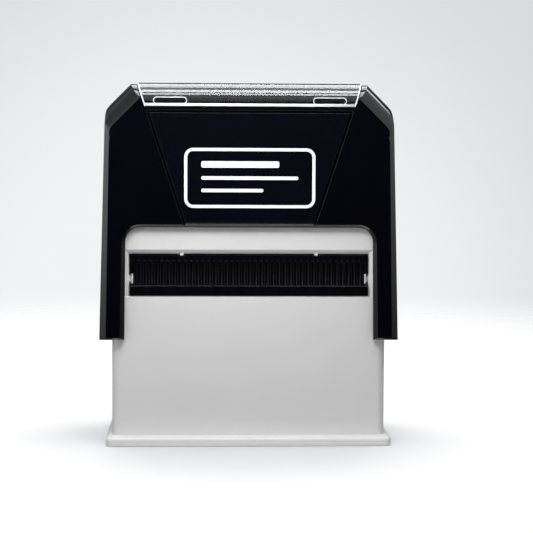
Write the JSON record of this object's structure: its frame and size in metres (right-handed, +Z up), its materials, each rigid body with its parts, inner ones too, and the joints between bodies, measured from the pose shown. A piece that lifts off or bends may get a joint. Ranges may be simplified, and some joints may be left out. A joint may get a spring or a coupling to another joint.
{
  "type": "self inking stamp",
  "caption": "Self-inking hand stamp: press handle over a frame, ink cartridge in a front window, and a text plate that flips over from pad to paper.",
  "frame": {"origin": "centre of the base, on the surface that the stamp stands on", "axes": "+Z up along the handle's stroke, +X along the width of the printed impression, -Y towards the front face"},
  "size_m": [0.0534, 0.0312, 0.0646],
  "materials": {
    "handle_black": "glossy moulded",
    "panel_black": "fine matt texture",
    "clear_plastic": "clear polished",
    "button_grey": "satin moulded",
    "pin_steel": "ground",
    "spring_steel": "drawn wire",
    "frame_white": "satin moulded",
    "cartridge_black": "satin moulded",
    "ink_felt": "ink-soaked felt",
    "platen_grey": "matt moulded",
    "foam_grey": "closed-cell foam",
    "die_rubber": "engraved rubber"
  },
  "bodies": {
    "frame": {"frame_housing": "frame_white", "base_ring": "frame_white", "return_spring": "spring_steel"},
    "handle": {"handle_cover": "handle_black", "front_panel": "panel_black", "rear_panel": "panel_black", "axle_pin_left": "pin_steel", "axle_pin_right": "pin_steel"},
    "window": {"index_window": "clear_plastic"},
    "lock_left": {"lock_button_left": "button_grey"},
    "lock_right": {"lock_button_right": "button_grey"},
    "carrier": {"platen": "platen_grey", "cushion_foam": "foam_grey", "rubber_die": "die_rubber", "cam_pin_left": "pin_steel", "cam_pin_right": "pin_steel"},
    "cartridge": {"pad_case": "cartridge_black", "ink_pad": "ink_felt"}
  },
  "joints": [
    {"name": "handle_press", "type": "slide", "parent": "frame", "child": "handle", "axis": [0, 0, 1], "range_m": [-0.0165, 0], "stiffness_N_per_m": 500, "springref_m": 0.006, "deforming": ["return_spring"]},
    {"name": "platen_flip", "type": "hinge", "parent": "handle", "child": "carrier", "pos_m": [0, 0, 0.0215], "axis": [1, 0, 0], "range_deg": [0, 180]},
    {"name": "cartridge_pull", "type": "slide", "parent": "frame", "child": "cartridge", "axis": [0, -1, 0], "range_m": [0, 0.03]},
    {"name": "window_lift", "type": "slide", "parent": "handle", "child": "window", "axis": [0, 0, 1], "range_m": [0, 0.02]},
    {"name": "lock_left_push", "type": "slide", "parent": "handle", "child": "lock_left", "axis": [1, 0, 0], "range_m": [0, 0.0007], "stiffness_N_per_m": 300, "springref_m": -0.0007},
    {"name": "lock_right_push", "type": "slide", "parent": "handle", "child": "lock_right", "axis": [-1, 0, 0], "range_m": [0, 0.0007], "stiffness_N_per_m": 300, "springref_m": -0.0007}
  ],
  "couplings": [
    {"joint": "platen_flip", "follows": "handle_press", "rad_per_m": -190.39}
  ]
}
